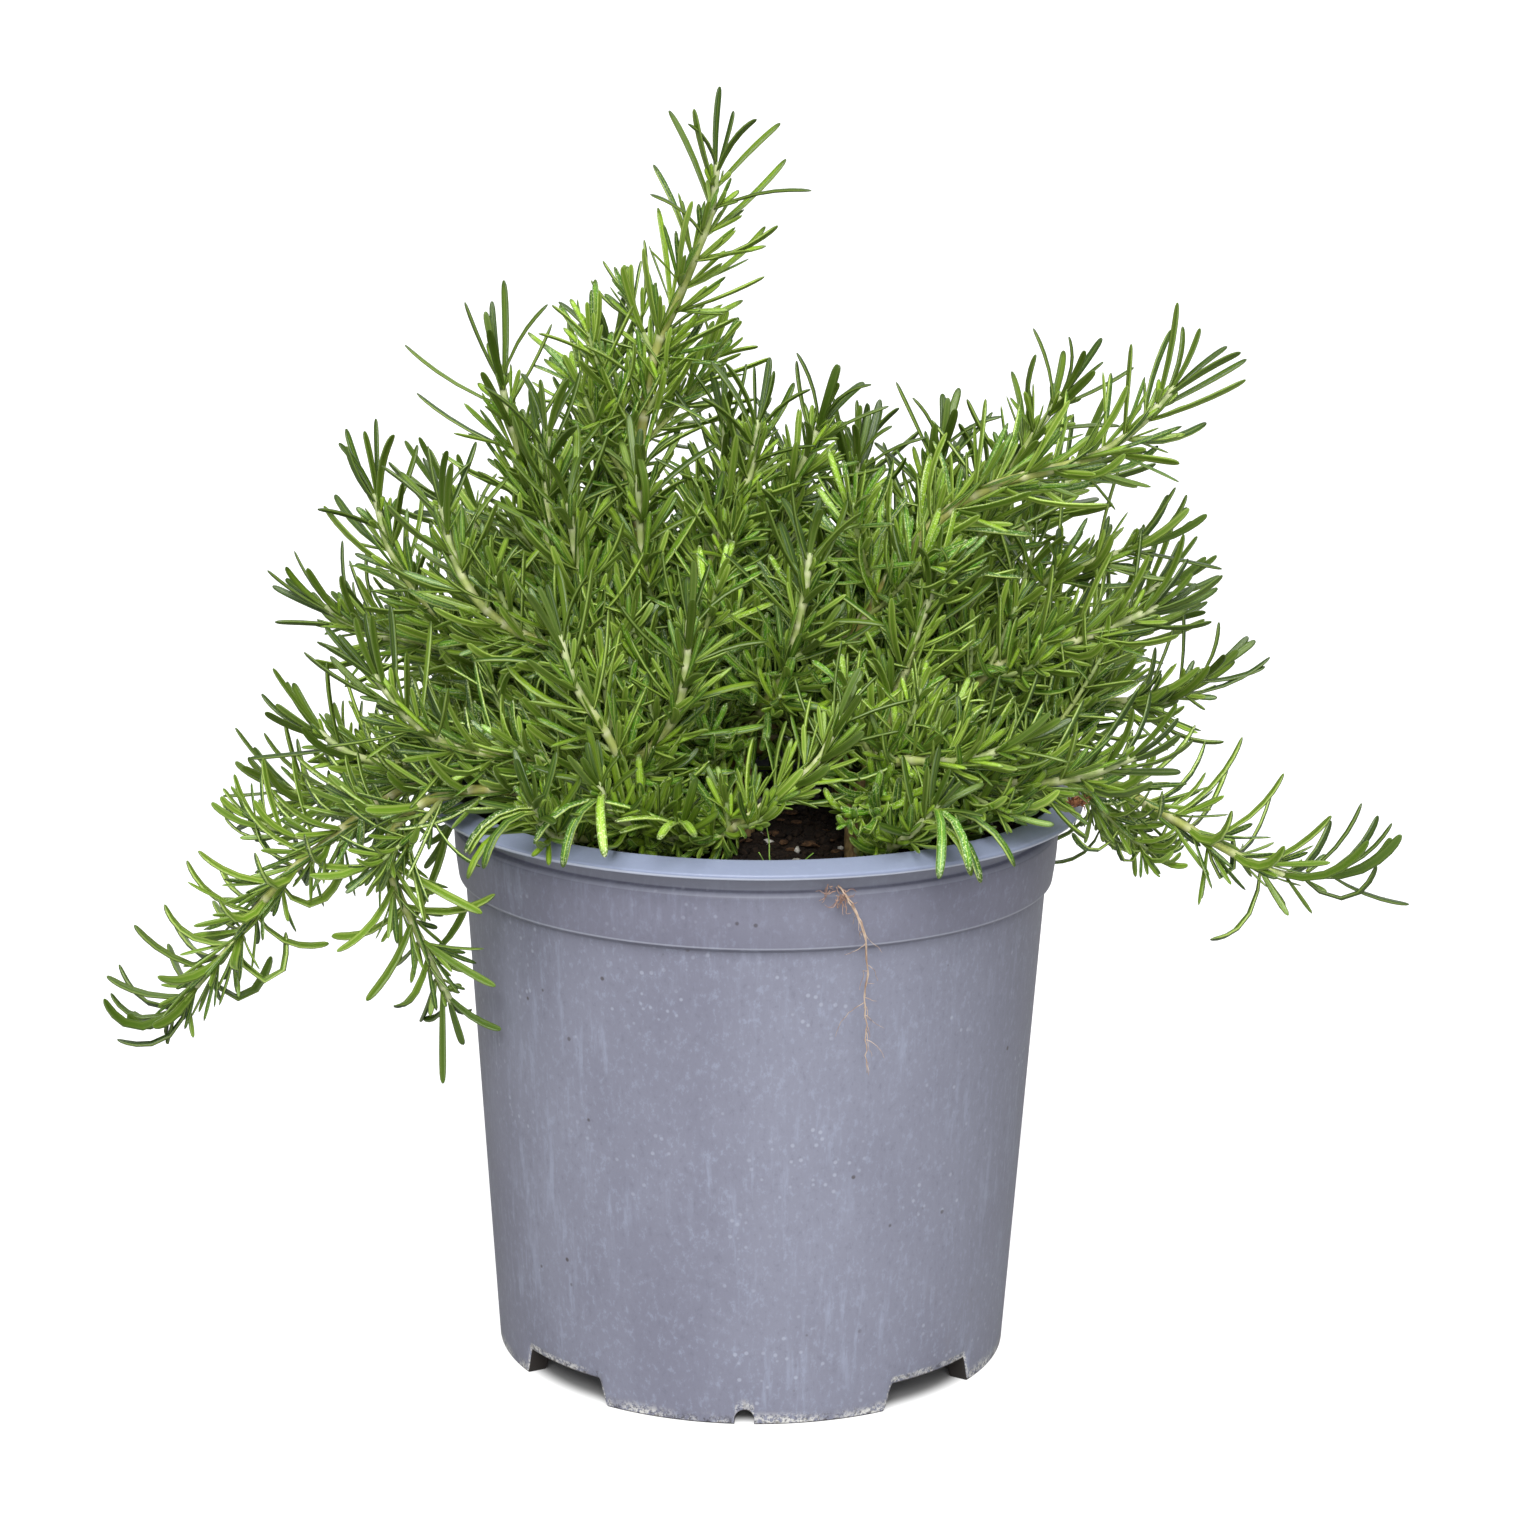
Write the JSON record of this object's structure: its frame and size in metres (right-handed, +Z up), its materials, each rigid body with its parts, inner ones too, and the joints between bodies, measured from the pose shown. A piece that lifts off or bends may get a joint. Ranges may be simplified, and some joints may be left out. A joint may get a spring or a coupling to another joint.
{
  "type": "potted rosemary plant",
  "caption": "Bushy rosemary with upright, arching and trailing leafy shoots, growing in a round tapered plastic nursery pot filled with peat.",
  "frame": {"origin": "middle of the underside of the whole object's box, on the surface the pot stands on, about 10 mm in front-to-back distance from the pot's own axis", "axes": "+Z up, -Y towards the front that the picture shows, +X to the right of that front"},
  "size_m": [0.3794, 0.2158, 0.3673],
  "materials": {
    "pot_plastic": "satin blue-grey moulded plastic, lightly scuffed, with pale lime marks at the feet",
    "peat": "dark moist peat with fibres, crumbs and a little moss",
    "bark": "dull tan young bark",
    "foliage": "leathery mid-green needle leaves, paler underneath, on pale green stems",
    "dry_root": "dry pinkish-tan root fibre"
  },
  "bodies": {
    "root": {"hanging_root": "dry_root", "nursery_pot": "pot_plastic", "root_ball": "peat", "shoot_back_centre": "foliage", "shoot_back_hanging": "foliage", "shoot_back_left_arching": "foliage", "shoot_back_left_low": "foliage", "shoot_back_left_trailing": "foliage", "shoot_back_left_upright": "foliage", "shoot_back_low": "foliage", "shoot_back_right_arching": "foliage", "shoot_back_right_low": "foliage", "shoot_back_right_trailing": "foliage", "shoot_back_right_upright": "foliage", "shoot_centre_front": "foliage", "shoot_centre_inner": "foliage", "shoot_centre_leaning": "foliage", "shoot_centre_upright": "foliage", "shoot_front_centre": "foliage", "shoot_front_left_middle": "foliage", "shoot_front_left_rim": "foliage", "shoot_front_left_small": "foliage", "shoot_front_left_upright": "foliage", "shoot_front_right": "foliage", "shoot_front_right_long": "foliage", "shoot_front_right_rim": "foliage", "shoot_inner_right": "foliage", "shoot_leader": "foliage", "shoot_left_far": "foliage", "shoot_left_fork": "foliage", "shoot_left_front": "foliage", "shoot_left_hanging": "foliage", "shoot_left_long": "foliage", "shoot_left_low": "foliage", "shoot_left_mid": "foliage", "shoot_left_side": "foliage", "shoot_left_tall": "foliage", "shoot_left_trailing": "foliage", "shoot_left_upright": "foliage", "shoot_over_lip": "foliage", "shoot_right_back": "foliage", "shoot_right_drooping": "foliage", "shoot_right_high": "foliage", "shoot_right_low": "foliage", "shoot_right_main": "foliage", "shoot_right_mid": "foliage", "shoot_right_trailing": "foliage", "shoot_rim_right": "foliage", "shoot_top_far_right": "foliage", "shoot_top_left": "foliage", "shoot_top_middle": "foliage", "shoot_top_right": "foliage", "woody_stem_back_left": "bark", "woody_stem_back_right": "bark", "woody_stem_centre": "bark", "woody_stem_front_left": "bark", "woody_stem_front_right": "bark", "woody_stem_left": "bark", "woody_stem_right": "bark"}
  },
  "joints": []
}
